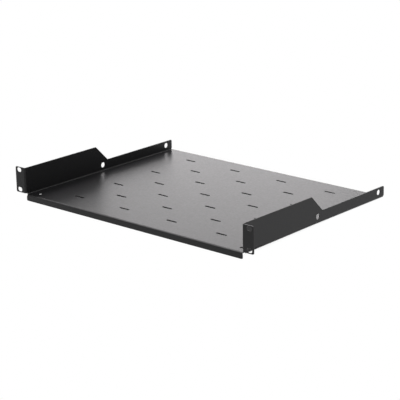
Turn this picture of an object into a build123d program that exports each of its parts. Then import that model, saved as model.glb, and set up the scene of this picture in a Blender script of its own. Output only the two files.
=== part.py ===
from build123d import *
import math
import os

# Rack shelf for a 19 inch rack, cut from one sheet of steel and folded.
# The base has a lip folded down at the front and a wall folded up at each side. Each wall ends
# at the front in an ear, folded outwards, that is screwed to the rack's rails.
# Origin: the middle of the four ear holes, on the rear faces of the ears, which meet the rails.
# +X is to the right seen from the front, +Y goes into the rack, +Z is up. Sizes are in mm.

# Sheet
sheet = 1.5  # thickness
bend_inside = 1.5  # inside radius of every fold

# Overall
ear_span = 480.4  # outer edge of one ear to outer edge of the other
ear_width = 19.4  # outer face of a side wall to the outer edge of its ear
body_depth = 338.5  # front faces of the ears to the rear edge

# Side walls: heights are from the underside of the base
rear_wall_height = 18.2
slope_start = 156.4  # front faces of the ears to the top of the slope
slope_angle = 45.0
slope_radius = 2.5
rear_corner_radius = 2.5
wall_hole_diameter = 8.6
wall_hole_height = 10.8
front_wall_hole_depth = 171.5  # front faces of the ears to the hole
rear_wall_hole_inset = 14.0  # rear edge to the hole

# Rack ears: with these sizes the holes are 465.1 apart across the rack
ear_hole_pitch = 31.75  # one hole above the other
ear_hole_inset = 7.65  # outer edge of an ear to the middle of its holes
ear_hole_width = 9.8
ear_hole_height = 7.2
ear_hole_to_top = 4.65  # middle of the upper hole to the top of the ear and of its wall
ear_hole_to_underside = 7.75  # middle of the lower hole to the underside of the base
ear_corner_radius = 2.2

# Front lip
lip_height = 9.8  # top of the base to the lower edge of the lip
lip_set_back = 1.2  # front faces of the ears to the front face of the lip
lip_end_gap = 0.6  # inner face of a wall to the end of the lip
lip_corner_radius = 1.8

# Reliefs cut at the ends of the wall folds
front_relief_length = 0.8  # past the fold of the lip
front_relief_width = 0.5  # in from the end of the lip
rear_relief_length = 1.0
rear_relief_width = 2.0  # in from the inner face of a wall

# Slots in the base: staggered rows, one row in two shifted by half a pitch
slot_length = 20.0
slot_width = 4.0
slot_pitch = 96.2
slot_row_pitch = 43.2
first_row_depth = 43.8  # front faces of the ears to the first row
slot_side_margin = 60.0  # least distance from the middle of a slot to a wall
slot_rear_margin = 30.0  # least distance from the middle of a slot to the rear edge

# Holes in the front corners of the base
corner_hole_diameter = 6.5
corner_hole_inset = 14.5  # inner face of a wall to the hole
corner_hole_depth = 17.2  # front faces of the ears to the hole

# Levels and faces that follow from the sizes above
bend_outside = bend_inside + sheet
base_bottom = -ear_hole_pitch / 2 - ear_hole_to_underside
base_top = base_bottom + sheet
wall_top = ear_hole_pitch / 2 + ear_hole_to_top
rear_wall_top = base_bottom + rear_wall_height
wall_foot = base_bottom + bend_outside
half_body = ear_span / 2 - ear_width
half_inside = half_body - sheet
half_lip = half_inside - lip_end_gap
ear_front = -sheet
rear_edge = ear_front + body_depth
lip_front = ear_front + lip_set_back
base_front = lip_front + bend_outside + front_relief_length


def section(*points):
    """Section of the folded sheet. The points run along the inside of its folds, steel to their right."""
    inside = FilletPolyline(*points, radius=bend_inside)
    return make_face(offset(inside, sheet, side=Side.RIGHT))


def across(profile):
    """A side view, with +Y to its right, cut through the whole width."""
    return extrude(Plane.YZ * profile, amount=half_body, both=True)


def wall_outline():
    """Side view of a wall: tall at the front, then a slope down to the low rear part."""
    slope_top = ear_front + slope_start
    slope_run = (wall_top - rear_wall_top) / math.tan(math.radians(slope_angle))
    upper = FilletPolyline(
        (base_front, wall_top),
        (slope_top, wall_top),
        (slope_top + slope_run, rear_wall_top),
        (rear_edge, rear_wall_top),
        (rear_edge, base_bottom),
        radius=(slope_radius, slope_radius, rear_corner_radius),
    )
    lower = Polyline((rear_edge, base_bottom), (base_front, base_bottom), (base_front, wall_top))
    return make_face(upper + lower)


def right_half():
    """Right half of the base and the wall folded up from it, trimmed to the wall's outline."""
    profile = section((0, base_top), (half_inside, base_top), (half_inside, wall_top))
    channel = extrude(Plane.XZ.offset(-base_front) * profile, amount=base_front - rear_edge)
    return channel & across(wall_outline())


def lip():
    """Lip folded down from the front of the base, with its lower corners rounded."""
    lip_back = lip_front + sheet
    profile = section((base_front, base_bottom), (lip_back, base_bottom), (lip_back, base_top - lip_height))
    strip = extrude(Plane.YZ * profile, amount=half_lip, both=True)
    lower_corners = strip.edges().filter_by(Axis.Y).group_by(Axis.Z)[0]
    return fillet(lower_corners, lip_corner_radius)


def right_ear():
    """Ear folded outwards from the front of the right wall, with its outer corners rounded."""
    profile = section((half_body, base_front), (half_body, 0), (ear_span / 2, 0))
    ear = extrude(Plane.XY.offset(wall_foot) * profile, amount=wall_top - wall_foot)
    outer_corners = ear.edges().filter_by(Axis.Y).group_by(Axis.X)[-1]
    return fillet(outer_corners, ear_corner_radius)


def right_reliefs():
    """Cut-outs at both ends of the fold between the base and the right wall."""
    front_cut = Pos(half_lip - front_relief_width, ear_front, base_top - bend_outside) * Box(
        half_body, base_front - ear_front, wall_foot - base_top + bend_outside, align=Align.MIN
    )
    rear_cut = Pos(half_inside - rear_relief_width, rear_edge - rear_relief_length, base_bottom) * Box(
        half_body, rear_relief_length, bend_outside, align=Align.MIN
    )
    return front_cut + rear_cut


def base_slots():
    """Staggered rows of slots, as many as fit inside the margins."""
    half_pitch = slot_pitch / 2
    rows = int((body_depth - slot_rear_margin - first_row_depth) // slot_row_pitch) + 1
    columns = int((half_inside - slot_side_margin) // half_pitch)
    places = [
        (column * half_pitch, ear_front + first_row_depth + row * slot_row_pitch)
        for row in range(rows)
        for column in range(-columns, columns + 1)
        if (row + column) % 2
    ]
    slots = Locations(*places) * SlotOverall(slot_length, slot_width)
    return extrude(Plane.XY.offset(base_bottom) * Sketch(slots), amount=sheet)


def corner_holes():
    """Round holes in the front corners of the base."""
    hole_x = half_inside - corner_hole_inset
    holes = [Pos(x, ear_front + corner_hole_depth) * Circle(corner_hole_diameter / 2) for x in (-hole_x, hole_x)]
    return extrude(Plane.XY.offset(base_bottom) * Sketch(holes), amount=sheet)


def wall_holes():
    """Round holes through both walls, one below the slope and one near the rear edge."""
    depths = (ear_front + front_wall_hole_depth, rear_edge - rear_wall_hole_inset)
    level = base_bottom + wall_hole_height
    return across(Sketch([Pos(depth, level) * Circle(wall_hole_diameter / 2) for depth in depths]))


def ear_holes():
    """Four slotted holes for the rack's screws, long across the rack."""
    hole_span = ear_span - 2 * ear_hole_inset
    holes = GridLocations(hole_span, ear_hole_pitch, 2, 2) * SlotOverall(ear_hole_width, ear_hole_height)
    return extrude(Plane.XZ * Sketch(holes), amount=sheet)


def both_sides(right):
    """A solid of the right side with its mirror image on the left."""
    return right + mirror(right, about=Plane.YZ)


def shelf():
    """The folded sheet, with its reliefs, slots and holes."""
    folded = lip() + both_sides(right_half() + right_ear())
    folded -= both_sides(right_reliefs())
    for cut in (base_slots(), corner_holes(), wall_holes(), ear_holes()):
        folded -= cut
    return folded


os.makedirs("parts", exist_ok=True)
export_step(shelf(), "parts/shelf.step")
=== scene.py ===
import math
import bpy
import numpy as np
from mathutils import Matrix, Vector
from mathutils.geometry import delaunay_2d_cdt


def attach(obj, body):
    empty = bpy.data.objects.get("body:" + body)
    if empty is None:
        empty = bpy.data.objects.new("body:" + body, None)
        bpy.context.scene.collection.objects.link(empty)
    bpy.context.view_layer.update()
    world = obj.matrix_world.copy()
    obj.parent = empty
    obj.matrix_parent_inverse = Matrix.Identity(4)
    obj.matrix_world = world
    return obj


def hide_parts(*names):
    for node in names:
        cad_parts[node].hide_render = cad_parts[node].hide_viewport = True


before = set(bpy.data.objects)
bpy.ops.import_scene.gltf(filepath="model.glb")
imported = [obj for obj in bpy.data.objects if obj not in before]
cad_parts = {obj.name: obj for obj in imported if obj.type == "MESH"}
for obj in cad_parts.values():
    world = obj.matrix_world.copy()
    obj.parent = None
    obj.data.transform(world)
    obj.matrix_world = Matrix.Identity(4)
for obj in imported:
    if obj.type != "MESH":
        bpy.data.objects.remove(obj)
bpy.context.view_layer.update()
scene = bpy.context.scene
scene.view_settings.view_transform = "Standard"
perMetre = 1000    # the sheet is worked out in millimetres
print("stage 1: packed shelf loaded")

# The sheet before folding, in millimetres: u runs across the shelf and v into the rack. Past a fold
# u goes on up the wall, and v goes on down the lip and out along the ear.
blank = {
    "thickness": 1.5,
    "bendRadius": 2.25,        # of the middle of the sheet
    "bendSteps": 12,
    "edgeRound": 0.15,         # radius of the rim of every cut edge
    "edgeSteps": 3,
    "cornerSteps": 6,
    "sharpCorner": 0.4,        # radius of corners that look sharp
    "stepCorners": (0.3, 0.15),    # outer and inner corner of the small step beside the lip
    "baseLevel": -22.875,      # middle of the base, below the middle of the ear holes
    "wallFold": 217.8,         # where the base starts to turn up into a wall
    "lipFold": 2.7,            # where it starts to turn down into the lip
    "earFold": 1.5,            # where a wall starts to turn out into its ear
    "footFront": 3.5,          # front end of the fold between base and wall
    "lipHalf": 218.7,          # middle of the lip to its end
    "tabHalf": 218.2,          # the same where the lip joins the base
    "lipDrop": 6.8,            # flat part of the lip
    "lipCorner": 1.8,
    "earReach": 17.9,          # flat part of an ear
    "earCorner": 2.2,
    "wallRise": 41.15,         # flat part of a wall before its slope
    "rearWallRise": 15.2,      # and behind it
    "slopeStart": 154.9,
    "slopeEnd": 180.85,
    "slopeCorner": 2.5,
    "rear": 337.0,
    "rearCorner": 2.5,
    "rearNotch": (217.3, 336.0),   # inner corner of the relief at the rear end of a wall's fold
    "slotHalf": 10.0,          # half length
    "slotRadius": 2.0,
    "slotColumns": 7,
    "slotStep": 48.1,
    "slotRows": 7,
    "slotRowStep": 43.2,
    "firstRow": 42.3,
    "cornerHole": (204.8, 15.7),
    "cornerHoleRadius": 3.25,
    "wallHoleDepths": (170.0, 323.0),
    "wallHoleRise": 7.8,       # above the fold of the wall
    "wallHoleRadius": 4.3,
    "earHoleHalf": 4.9,
    "earHoleRadius": 3.6,
    "earHoleOut": 10.25,       # past the fold of the ear
    "earHoleRises": (4.75, 36.5),
    "arcSteps": 16,            # of each half circle
    "foldMargin": 0.6,         # how far the lines along a fold run past the sheet
    "slack": 0.001,            # for points that lie right on the end of a fold
    "weld": 0.0001,            # points nearer than this are one
}
foldLength = blank["bendRadius"] * math.pi / 2
wallFoot = blank["wallFold"] + foldLength      # where the flat part of a wall starts


# A closed line with rounded corners. The middle of each arc lies on the line that halves its corner,
# at the radius over the sine of the half corner, and the arc's points go from one touching point to
# the other in equal turns.
def roundedLoop(corners, steps):
    place, radius = corners[:, :2], corners[:, 2]
    before = np.roll(place, 1, 0) - place
    after = np.roll(place, -1, 0) - place
    before /= np.linalg.norm(before, axis=1)[:, None]
    after /= np.linalg.norm(after, axis=1)[:, None]
    half = np.arccos(np.clip((before * after).sum(1), -1, 1)) / 2
    towards = before + after
    towards /= np.linalg.norm(towards, axis=1)[:, None]
    middle = place + towards * (radius / np.sin(half))[:, None]
    first = place + before * (radius / np.tan(half))[:, None] - middle
    last = place + after * (radius / np.tan(half))[:, None] - middle
    start = np.arctan2(first[:, 1], first[:, 0])
    turn = (np.arctan2(last[:, 1], last[:, 0]) - start + np.pi) % (2 * np.pi) - np.pi
    angle = start[:, None] + turn[:, None] * np.linspace(0, 1, steps + 1)
    arcs = middle[:, None] + radius[:, None, None] * np.stack([np.cos(angle), np.sin(angle)], 2)
    return arcs.reshape(-1, 2)


# A slotted hole, run clockwise: two half circles, their middles moved apart along it. A round hole has
# no half length and is one circle. A hole along v is the same ring after a quarter turn.
def holeLoop(middle, halfLength, radius, alongV):
    if halfLength <= radius:
        angle = np.linspace(0, 2 * np.pi, 2 * blank["arcSteps"] + 1)[:-1]
        ring = radius * np.stack([np.sin(angle), np.cos(angle)], 1)
    else:
        angle = np.linspace(0, np.pi, blank["arcSteps"] + 1)
        cap = radius * np.stack([np.sin(angle), np.cos(angle)], 1) + [halfLength - radius, 0]
        ring = np.concatenate([cap, -cap])
    if alongV:
        ring = ring[:, ::-1] * [1, -1]
    return ring + middle


# Two directions to the right of a closed line at each of its points. The first is the sum of the rights
# of the edges before and after the point, over one plus their dot product: times a distance, it leads
# to where both edges cross when they are moved by that distance. The second, for shading, is the mean
# of the rights, each by the length of its edge, and is one long.
def edgeRights(points, before, after):
    first = points - points[before]
    second = points[after] - points
    firstLength = np.linalg.norm(first, axis=1)[:, None]
    secondLength = np.linalg.norm(second, axis=1)[:, None]
    firstRight = np.stack([first[:, 1], -first[:, 0]], 1) / firstLength
    secondRight = np.stack([second[:, 1], -second[:, 0]], 1) / secondLength
    crossing = (firstRight + secondRight) / (1 + (firstRight * secondRight).sum(1))[:, None]
    shade = firstRight * firstLength + secondRight * secondLength
    return crossing, shade / np.linalg.norm(shade, axis=1)[:, None]


# A closed line moved to its left, which is into the sheet: each point less its crossing direction
# times the distance
def movedIn(loop, distance):
    count = np.arange(len(loop))
    return loop - distance * edgeRights(loop, np.roll(count, 1), np.roll(count, -1))[0]


# The outline of the blank: the corners of its right half with their radii, from the lip to the rear,
# and then their mirror images in reverse, so that the sheet is on the left all the way
def blankOutline():
    lipTop = blank["lipFold"] - foldLength
    lipEnd = lipTop - blank["lipDrop"]
    earEnd = blank["earFold"] - foldLength - blank["earReach"]
    top, low = wallFoot + blank["wallRise"], wallFoot + blank["rearWallRise"]
    foot, rear, sharp = blank["footFront"], blank["rear"], blank["sharpCorner"]
    notchIn, notchFront = blank["rearNotch"]
    stepOut, stepIn = blank["stepCorners"]
    right = np.array([
        (blank["lipHalf"], lipEnd, blank["lipCorner"]),
        (blank["lipHalf"], lipTop, stepOut),
        (blank["tabHalf"], lipTop, stepIn),
        (blank["tabHalf"], foot, sharp),
        (wallFoot, foot, sharp),
        (wallFoot, earEnd, blank["earCorner"]),
        (top, earEnd, blank["earCorner"]),
        (top, blank["slopeStart"], blank["slopeCorner"]),
        (low, blank["slopeEnd"], blank["slopeCorner"]),
        (low, rear, blank["rearCorner"]),
        (wallFoot, rear, sharp),
        (wallFoot, notchFront, sharp),
        (notchIn, notchFront, sharp),
        (notchIn, rear, sharp),
    ])
    return roundedLoop(np.concatenate([right, right[::-1] * [-1, 1, 1]]), blank["cornerSteps"])


# Every cut-out as its middle, half length, radius and whether it runs along v. The slots take the
# places of a grid at which row and column add up to an odd number.
def blankHoles():
    columns = np.arange(blank["slotColumns"]) - blank["slotColumns"] // 2
    row, column = np.meshgrid(np.arange(blank["slotRows"]), columns, indexing="ij")
    grid = np.stack([column * blank["slotStep"], blank["firstRow"] + row * blank["slotRowStep"]], 2)
    slots = grid[(row + column) % 2 == 1]
    holes = [(middle, blank["slotHalf"], blank["slotRadius"], False) for middle in slots]
    earHoleDepth = blank["earFold"] - foldLength - blank["earHoleOut"]
    for side in (-1, 1):
        u, v = blank["cornerHole"]
        holes.append(((side * u, v), 0, blank["cornerHoleRadius"], False))
        for v in blank["wallHoleDepths"]:
            middle = (side * (wallFoot + blank["wallHoleRise"]), v)
            holes.append((middle, 0, blank["wallHoleRadius"], False))
        for rise in blank["earHoleRises"]:
            middle = (side * (wallFoot + rise), earHoleDepth)
            holes.append((middle, blank["earHoleHalf"], blank["earHoleRadius"], True))
    return holes


# Lines along every fold at equal steps of its bend, so that the triangles can follow it
def foldLines():
    steps = np.linspace(0, foldLength, blank["bendSteps"] + 1)
    margin = blank["foldMargin"]
    front, rear = blank["footFront"] - margin, blank["rearNotch"][1] + margin
    low, high = wallFoot - margin, wallFoot + blank["wallRise"] + margin
    end = blank["tabHalf"] + margin
    lines = []
    for step in steps:
        for side in (-1, 1):
            u, v = side * (blank["wallFold"] + step), blank["earFold"] - step
            lines += [((u, front), (u, rear)), ((side * low, v), (side * high, v))]
        v = blank["lipFold"] - step
        lines.append(((-end, v), (end, v)))
    return np.array(lines)


# The flat blank in triangles that keep to the cut edges and the fold lines. A triangle is sheet where a
# line from its middle along u crosses the cut edges an odd number of times.
def cutBlank():
    outline = movedIn(blankOutline(), blank["edgeRound"])
    loops = [outline] + [movedIn(holeLoop(*hole), blank["edgeRound"]) for hole in blankHoles()]
    lines = foldLines()
    starts = np.cumsum([0] + [len(loop) for loop in loops])
    joins = [np.stack([np.arange(len(loop)), np.roll(np.arange(len(loop)), -1)], 1) + start
             for loop, start in zip(loops, starts)]
    joins.append(starts[-1] + np.arange(2 * len(lines)).reshape(-1, 2))
    flat = np.concatenate(loops + [lines.reshape(-1, 2)])
    insideOnly = 1
    found = delaunay_2d_cdt(flat.tolist(), np.concatenate(joins).tolist(), [], insideOnly,
                            blank["weld"], False)
    place, triangles = np.array(found[0]), np.array(found[2])

    middle = place[triangles].mean(1)
    u, v = middle[:, :1], middle[:, 1:]
    u0, v0, u1, v1 = np.concatenate([np.hstack([loop, np.roll(loop, -1, 0)]) for loop in loops]).T
    passed = (v0 > v) != (v1 > v)
    where = u0 + (v - v0) * (u1 - u0) / np.where(v1 == v0, 1, v1 - v0)
    triangles = triangles[(passed & (where > u)).sum(1) % 2 == 1]
    used, triangles = np.unique(triangles, return_inverse=True)
    return place[used], triangles.reshape(-1, 3)


# Cut edges: the sides of triangles that have no neighbour, with the sheet on their left. They are given
# by their first points, with the numbers of the edges before and after each.
def cutEdges(triangles, count):
    sides = np.concatenate([triangles[:, [0, 1]], triangles[:, [1, 2]], triangles[:, [2, 0]]])
    shared = np.isin(sides[:, 0] * count + sides[:, 1], sides[:, 1] * count + sides[:, 0])
    edges = sides[~shared]
    edges = edges[np.argsort(edges[:, 0])]
    after = np.searchsorted(edges[:, 0], edges[:, 1])
    before = np.empty_like(after)
    before[after] = np.arange(len(edges))
    return edges[:, 0], before, after


# The sheet after its folds: a place (u, v) of the blank, w above its middle, is turned by each fold that
# it has passed. At a distance past the start of a fold it has turned by that distance over the bend's
# radius, to a right angle at most. It has gone along by the sine of the turn, and aside by one less its
# cosine, both times the radius, and after the bend it goes straight on.
def fold(places, directions):
    u, v, w = places.T
    side = np.where(u < 0, -1.0, 1.0)
    across = np.abs(u)

    def bend(distance):
        turn = np.clip(distance / blank["bendRadius"], 0, math.pi / 2)
        along, aside = np.sin(turn) * blank["bendRadius"], (1 - np.cos(turn)) * blank["bendRadius"]
        return turn, along, aside + np.clip(distance - foldLength, 0, None)

    onWall = across > wallFoot - blank["slack"]
    onLip = across < blank["lipHalf"] + blank["foldMargin"]
    inFold = onWall | (v > blank["footFront"] - blank["slack"])
    foldStart = np.where(inFold, blank["wallFold"], across)
    wallTurn, wallAlong, wallUp = bend(across - foldStart)
    lipTurn, lipAlong, lipDown = bend(np.where(onLip, blank["lipFold"] - v, 0))
    earTurn, earAlong, earOut = bend(np.where(onWall, blank["earFold"] - v, 0))
    # unit vectors along u and v and out of the sheet
    alongU = np.stack([np.cos(wallTurn), np.zeros_like(u), np.sin(wallTurn)], 1)
    alongV = np.stack([-np.sin(earTurn), np.cos(lipTurn + earTurn), np.sin(lipTurn)], 1)
    outwards = np.cross(alongU, alongV)
    x = np.minimum(across, foldStart) + wallAlong + earOut
    y = np.maximum(v, np.where(onWall, blank["earFold"], blank["lipFold"]))
    y = np.where(onWall | onLip, y, v) - lipAlong - earAlong
    z = blank["baseLevel"] + wallUp - lipDown
    place = np.stack([x, y, z], 1) + w[:, None] * outwards
    facing = directions[:, :1] * side[:, None] * alongU + directions[:, 1:2] * alongV
    facing = facing + directions[:, 2:] * outwards
    mirrored = np.stack([side, np.ones_like(side), np.ones_like(side)], 1)
    return place * mirrored, facing * mirrored


# One closed mesh: the two faces of the blank, and round each cut edge a rim whose profile is a quarter
# circle, a straight part through the sheet and another quarter circle
def foldedSheet():
    thin, edge = blank["thickness"] / 2, blank["edgeRound"]
    place, triangles = cutBlank()
    count = len(place)
    rim, before, after = cutEdges(triangles, count)
    crossing, shade = edgeRights(place[rim], before, after)

    # how far out the rim stands and which way up it faces, from the upper face down to the lower one
    turn = np.linspace(0, math.pi / 2, blank["edgeSteps"] + 1)[1:]
    out = np.concatenate([np.sin(turn), np.sin(turn)[::-1]])
    up = np.concatenate([np.cos(turn), -np.cos(turn)[::-1]])
    height = np.where(np.arange(len(out)) < len(turn), thin - edge, edge - thin) + edge * up
    rimPlace = place[rim][None] + edge * out[:, None, None] * crossing[None]
    size = rimPlace.shape[:2]
    rimPlaces = np.dstack([rimPlace, np.broadcast_to(height[:, None], size)])
    rimFacing = np.dstack([out[:, None, None] * shade[None], np.broadcast_to(up[:, None], size)])

    def face(level):
        return np.column_stack([place, np.full(count, level)])

    def upright(level):
        return np.tile([0.0, 0.0, level], (count, 1))

    places = np.concatenate([face(thin), face(-thin), rimPlaces.reshape(-1, 3)])
    facing = np.concatenate([upright(1.0), upright(-1.0), rimFacing.reshape(-1, 3)])
    rings = 2 * count + np.arange(len(out) * len(rim)).reshape(len(out), len(rim))
    rings = [rim, *rings, count + rim]
    quads = [np.stack([a, b, b[after], a[after]], 1) for a, b in zip(rings, rings[1:])]
    faces = triangles.tolist() + (triangles[:, ::-1] + count).tolist() + np.concatenate(quads).tolist()
    places, facing = fold(places, facing)
    facing /= np.linalg.norm(facing, axis=1)[:, None]

    mesh = bpy.data.meshes.new("foldedSheet")
    mesh.from_pydata((places / perMetre).tolist(), [], faces)
    mesh.polygons.foreach_set("use_smooth", np.ones(len(mesh.polygons), bool))
    mesh.normals_split_custom_set_from_vertices(facing.tolist())
    piece = bpy.data.objects.new("foldedSheet", mesh)
    scene.collection.objects.link(piece)
    return piece


# Satin black powder coat: the powder melts to a very fine orange peel, a little uneven in colour and
# gloss. A grain is the distance from one spot to the next, in metres, and how fine its detail is.
coat = {
    "colour": (0.012, 0.012, 0.013),
    "shades": (0.85, 1.15),    # of the darkest and the lightest spots, as shares of the colour
    "shadeGrain": (0.0024, 3),
    "roughness": (0.33, 0.39),
    "glossGrain": (0.003, 4),
    "peelGrain": (0.0008, 2),
    "peelHeight": 0.000008,    # metres
    "peelStrength": 0.5,
    "refraction": 1.33,
    "noiseRange": (0.3, 0.7),  # nearly all of the noise lies between these
}


# The coat's nodes: noise on Object coordinates, spread evenly between two shades and two roughnesses,
# and a finer noise as the height of the orange peel
def powderCoat():
    material = bpy.data.materials.new("powderCoat")
    material.use_nodes = True
    nodes, links = material.node_tree.nodes, material.node_tree.links
    shader = nodes["Principled BSDF"]
    where = nodes.new("ShaderNodeTexCoord")

    # noise has as many spots to a metre as one over their distance
    def noise(size, detail):
        node = nodes.new("ShaderNodeTexNoise")
        node.inputs["Scale"].default_value = 1 / size
        node.inputs["Detail"].default_value = detail
        links.new(where.outputs["Object"], node.inputs["Vector"])
        return node.outputs["Fac"]

    # a value goes from low to high in a straight line as the noise goes through its range
    def spread(source, low, high):
        node = nodes.new("ShaderNodeMapRange")
        ends = ("From Min", "From Max", "To Min", "To Max")
        for end, value in zip(ends, (*coat["noiseRange"], low, high)):
            node.inputs[end].default_value = value
        links.new(source, node.inputs["Value"])
        return node.outputs["Result"]

    shades = nodes.new("ShaderNodeMix")
    shades.data_type = "RGBA"
    for end, share in zip("AB", coat["shades"]):
        shades.inputs[end].default_value = (*[c * share for c in coat["colour"]], 1)
    links.new(spread(noise(*coat["shadeGrain"]), 0, 1), shades.inputs["Factor"])
    links.new(shades.outputs["Result"], shader.inputs["Base Color"])
    links.new(spread(noise(*coat["glossGrain"]), *coat["roughness"]), shader.inputs["Roughness"])
    peel = nodes.new("ShaderNodeBump")
    peel.inputs["Strength"].default_value = coat["peelStrength"]
    peel.inputs["Distance"].default_value = coat["peelHeight"]
    links.new(noise(*coat["peelGrain"]), peel.inputs["Height"])
    links.new(peel.outputs["Normal"], shader.inputs["Normal"])
    shader.inputs["IOR"].default_value = coat["refraction"]
    return material


shelf = foldedSheet()
shelf.data.materials.append(powderCoat())
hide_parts("shelf")
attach(shelf, "root")
print("stage 2: sheet cut and folded,", len(shelf.data.polygons), "faces")

# White studio. The shelf stands on the lower edge of its lip and on its rear edge, so in its frame
# the floor slopes.
studio = {
    "floorPoints": ((1.2, -31.925), (337.0, -23.625)),   # y and z of both edges, in millimetres
    "floorGap": 0.00002,       # metres, so that the sheet doesn't touch
    "floorSize": 10.0,
    "floorColour": (0.8, 0.8, 0.8),
    "floorRoughness": 0.9,
    # the floor's painted shadow: how far it looks for open sky, and the shares of open sky at which it
    # is black and white
    "paintedShadowReach": 0.3,        # metres
    "paintedShadowRange": (0.0, 0.07),   # shares of open sky at which the floor looks black and white
    "worldColour": (1.0, 1.0, 1.0),
    "worldGlow": 1.0,          # as it is seen
    "worldLight": 0.05,        # as it lights the shelf
    "lampColour": (1.0, 0.965, 0.98),
}
seenRays = ("Is Camera Ray", "Is Glossy Ray", "Is Transmission Ray")


# Two looks in one surface: the share of the seen one is the greatest of the marks, each 0 or 1, for the
# rays of the picture, of reflections and through glass. All other rays get the one that lights.
def twoLooks(nodes, links, seen, lighting, output):
    path = nodes.new("ShaderNodeLightPath")
    share = path.outputs[seenRays[0]]
    for name in seenRays[1:]:
        greatest = nodes.new("ShaderNodeMath")
        greatest.operation = "MAXIMUM"
        links.new(share, greatest.inputs[0])
        links.new(path.outputs[name], greatest.inputs[1])
        share = greatest.outputs[0]
    pick = nodes.new("ShaderNodeMixShader")
    links.new(share, pick.inputs[0])
    links.new(lighting.outputs[0], pick.inputs[1])
    links.new(seen.outputs[0], pick.inputs[2])
    links.new(pick.outputs[0], output.inputs["Surface"])


# The floor: a square through the two edges that the shelf stands on, at the slope of the line from one
# to the other. Where it is seen it glows white, with a painted shadow: darker where less than a small
# share of the sky is open above it.
def makeFloor():
    (y0, z0), (y1, z1) = np.array(studio["floorPoints"]) / perMetre
    slope = math.atan2(z1 - z0, y1 - y0)
    half = studio["floorSize"] / 2
    x, reach = np.array([[-half, -half], [half, -half], [half, half], [-half, half]]).T
    level = z0 - studio["floorGap"]
    corners = np.stack([x, y0 + reach * math.cos(slope), level + reach * math.sin(slope)], 1)
    mesh = bpy.data.meshes.new("studioFloor")
    mesh.from_pydata(corners.tolist(), [], [(0, 1, 2, 3)])
    floor = bpy.data.objects.new("studioFloor", mesh)
    scene.collection.objects.link(floor)
    material = bpy.data.materials.new("studioPaper")
    material.use_nodes = True
    nodes, links = material.node_tree.nodes, material.node_tree.links
    paper = nodes["Principled BSDF"]
    paper.inputs["Base Color"].default_value = (*studio["floorColour"], 1)
    paper.inputs["Roughness"].default_value = studio["floorRoughness"]
    # painted shadow: the seen floor's glow is darkened by how little sky is open above it, not by the
    # lamps
    openSky = nodes.new("ShaderNodeAmbientOcclusion")
    openSky.inputs["Distance"].default_value = studio["paintedShadowReach"]
    shade = nodes.new("ShaderNodeMapRange")
    for end, share in zip(("From Min", "From Max"), studio["paintedShadowRange"]):
        shade.inputs[end].default_value = share
    seen = nodes.new("ShaderNodeEmission")
    links.new(openSky.outputs["AO"], shade.inputs["Value"])
    links.new(shade.outputs["Result"], seen.inputs["Strength"])
    twoLooks(nodes, links, seen, paper, nodes["Material Output"])
    mesh.materials.append(material)


# The world has one colour, with one strength where it is seen and another where it lights the shelf
def makeWorld():
    world = bpy.data.worlds.new("studioWorld")
    world.use_nodes = True
    scene.world = world
    nodes = world.node_tree.nodes
    lighting, seen = nodes["Background"], nodes.new("ShaderNodeBackground")
    for node, strength in ((lighting, studio["worldLight"]), (seen, studio["worldGlow"])):
        node.inputs["Color"].default_value = (*studio["worldColour"], 1)
        node.inputs["Strength"].default_value = strength
    twoLooks(nodes, world.node_tree.links, seen, lighting, nodes["World Output"])


# Soft boxes: place and aim in metres, size, and brightness of the box's face
softBoxes = {
    "lowBox": {"place": (-1.5, 1.9, 0.24), "aim": (0, 0.17, 0), "size": (0.9, 0.45), "face": 3.7},
    "middleBox": {"place": (-1.38, 1.87, 0.71), "aim": (0, 0.17, 0), "size": (0.9, 0.45), "face": 1.9},
    "rearBox": {"place": (-0.33, 2.03, 1.32), "aim": (0, 0.17, 0), "size": (1.3, 0.8), "face": 5.0},
    "topBox": {"place": (-1.32, 0.17, 1.88), "aim": (0, 0.17, 0), "size": (1.3, 0.8), "face": 9.0},
    "sideStrip": {"place": (0.95, 0.3, -0.005), "aim": (0.22, 0.1, -0.015), "size": (0.7, 0.04),
                  "face": 20.0},
}


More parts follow.
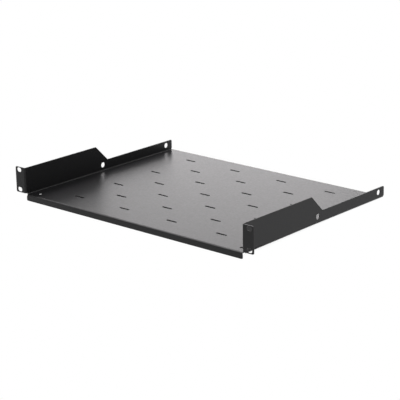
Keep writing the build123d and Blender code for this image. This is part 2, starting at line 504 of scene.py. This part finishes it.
# Each box faces its aim, and its power is the brightness of its face times pi times its area
def makeLamps():
    for name, box in softBoxes.items():
        lamp = bpy.data.lights.new(name, "AREA")
        lamp.shape = "RECTANGLE"
        lamp.color = studio["lampColour"]
        lamp.size, lamp.size_y = box["size"]
        lamp.energy = box["face"] * math.pi * lamp.size * lamp.size_y
        body = bpy.data.objects.new(name, lamp)
        turned = (Vector(box["aim"]) - Vector(box["place"])).to_track_quat("-Z", "Y").to_matrix()
        body.matrix_world = Matrix.Translation(box["place"]) @ turned.to_4x4()
        scene.collection.objects.link(body)


camera = {
    "place": (1.49776, -1.52878, 0.67819),
    "azimuth": 41.5632,        # degrees, from straight in front towards the right
    "elevation": 17.3708,
    "roll": -0.9332,
    "focal": 1529.36,          # in pixels of the picture
    "pictureWidth": 400,
    "sensorWidth": 36,
    "clip": (0.05, 50),
}


# The camera looks against the direction of its azimuth and elevation. Its right is level, its up is the
# cross product of both, and the roll turns right and up about the line of sight. The lens is to the
# sensor's width as the focal length in pixels is to the picture's.
def makeCamera():
    azimuth, elevation, roll = np.radians([camera[k] for k in ("azimuth", "elevation", "roll")])
    level = np.array([math.sin(azimuth), -math.cos(azimuth), 0])
    back = level * math.cos(elevation) + [0, 0, math.sin(elevation)]
    right = np.array([math.cos(azimuth), math.sin(azimuth), 0])
    up = np.cross(back, right)
    rolledRight = right * math.cos(roll) + up * math.sin(roll)
    rolledUp = up * math.cos(roll) - right * math.sin(roll)
    data = bpy.data.cameras.new("photoCamera")
    data.sensor_width = camera["sensorWidth"]
    data.lens = camera["focal"] / camera["pictureWidth"] * data.sensor_width
    data.clip_start, data.clip_end = camera["clip"]
    body = bpy.data.objects.new("photoCamera", data)
    axes = Matrix(np.stack([rolledRight, rolledUp, back], 1).tolist())
    body.matrix_world = Matrix.Translation(camera["place"]) @ axes.to_4x4()
    scene.collection.objects.link(body)
    scene.camera = body


makeFloor()
makeWorld()
makeLamps()
makeCamera()
print("stage 3: floor, lamps and camera placed")

bpy.context.view_layer.update()
